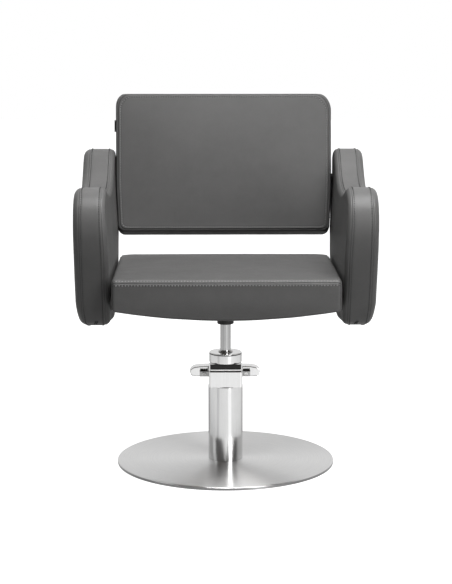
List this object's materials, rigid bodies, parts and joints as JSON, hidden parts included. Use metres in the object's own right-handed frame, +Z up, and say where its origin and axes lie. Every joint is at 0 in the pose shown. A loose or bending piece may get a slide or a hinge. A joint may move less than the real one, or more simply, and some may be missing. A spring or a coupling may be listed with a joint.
{
  "type": "styling chair",
  "caption": "Hydraulic salon styling chair: round steel floor disc, chrome pump column with foot pedal, padded seat, back and tall sculpted padded arms.",
  "frame": {"origin": "centre of the round floor disc, on the floor", "axes": "+Z up along the pump column, front of the chair (where the knees go) towards -Y, +X towards the sitter's left"},
  "size_m": [0.661, 0.6029, 0.8286],
  "materials": {
    "disc_steel": "circular brushed stainless steel",
    "chrome": "polished chrome plate",
    "steel": "plain turned steel",
    "black_paint": "satin black powder coat",
    "black_plastic": "black moulded plastic",
    "rubber": "black rubber",
    "upholstery": "dark grey synthetic leather over foam, fine grain, tone on tone stitching",
    "plywood": "raw plywood",
    "bronze": "plain bearing bronze"
  },
  "bodies": {
    "base": {"floor_pad": "rubber", "base_plate": "black_paint", "base_cover": "disc_steel", "pump_reservoir": "steel", "flange_screw_1": "steel", "flange_screw_2": "steel", "flange_screw_3": "steel", "inner_cylinder": "steel", "column_cover": "chrome", "pump_head": "chrome", "cap_plate": "chrome", "head_band": "black_plastic", "head_cap": "chrome", "ram_gland": "black_plastic", "pump_barrel": "steel", "pedal_pin": "steel", "return_spring": "steel"},
    "pedal": {"pedal_lever": "chrome", "foot_tread": "chrome", "tread_bolt_1": "chrome", "tread_bolt_2": "chrome"},
    "plunger": {"pump_plunger": "steel"},
    "ram": {"ram_rod": "chrome", "ram_piston": "bronze", "piston_seal": "rubber"},
    "seat": {"swivel_collar": "black_paint", "seat_mount_plate": "black_paint", "cross_bar_front": "black_paint", "cross_bar_rear": "black_paint", "seat_board": "plywood", "seat_cushion": "upholstery", "seat_bolt_1": "steel", "seat_bolt_2": "steel", "seat_bolt_3": "steel", "seat_bolt_4": "steel", "arm_pad_L": "upholstery", "arm_core_L": "plywood", "arm_pad_R": "upholstery", "arm_core_R": "plywood", "arm_spacer_L1": "black_plastic", "arm_spacer_L2": "black_plastic", "arm_bolt_L1": "steel", "arm_bolt_L2": "steel", "arm_spacer_R1": "black_plastic", "arm_spacer_R2": "black_plastic", "arm_bolt_R1": "steel", "arm_bolt_R2": "steel", "back_cushion": "upholstery", "back_board": "plywood", "back_rear_panel": "upholstery", "side_tag": "black_plastic", "back_bracket_L": "black_paint", "back_bracket_R": "black_paint", "back_spacer_L": "black_plastic", "back_spacer_R": "black_plastic", "back_bolt_L1": "steel", "back_bolt_L2": "steel", "back_bolt_R1": "steel", "back_bolt_R2": "steel"}
  },
  "joints": [
    {"name": "seat_lift", "type": "slide", "parent": "base", "child": "ram", "axis": [0, 0, 1], "range_m": [-0.055, 0.078]},
    {"name": "seat_swivel", "type": "hinge", "parent": "ram", "child": "seat", "pos_m": [0, 0, 0.34], "axis": [0, 0, 1], "continuous": true},
    {"name": "foot_pedal", "type": "hinge", "parent": "base", "child": "pedal", "pos_m": [0, 0.049, 0.209], "axis": [-1, 0, 0], "range_deg": [0, 22], "stiffness_Nm_per_rad": 3, "springref_deg": -34.38},
    {"name": "plunger_stroke", "type": "slide", "parent": "base", "child": "plunger", "axis": [0, 0, -1], "range_m": [0, 0.0086], "deforming": ["return_spring"]}
  ],
  "couplings": [
    {"joint": "plunger_stroke", "follows": "foot_pedal", "m_per_rad": 0.022}
  ]
}
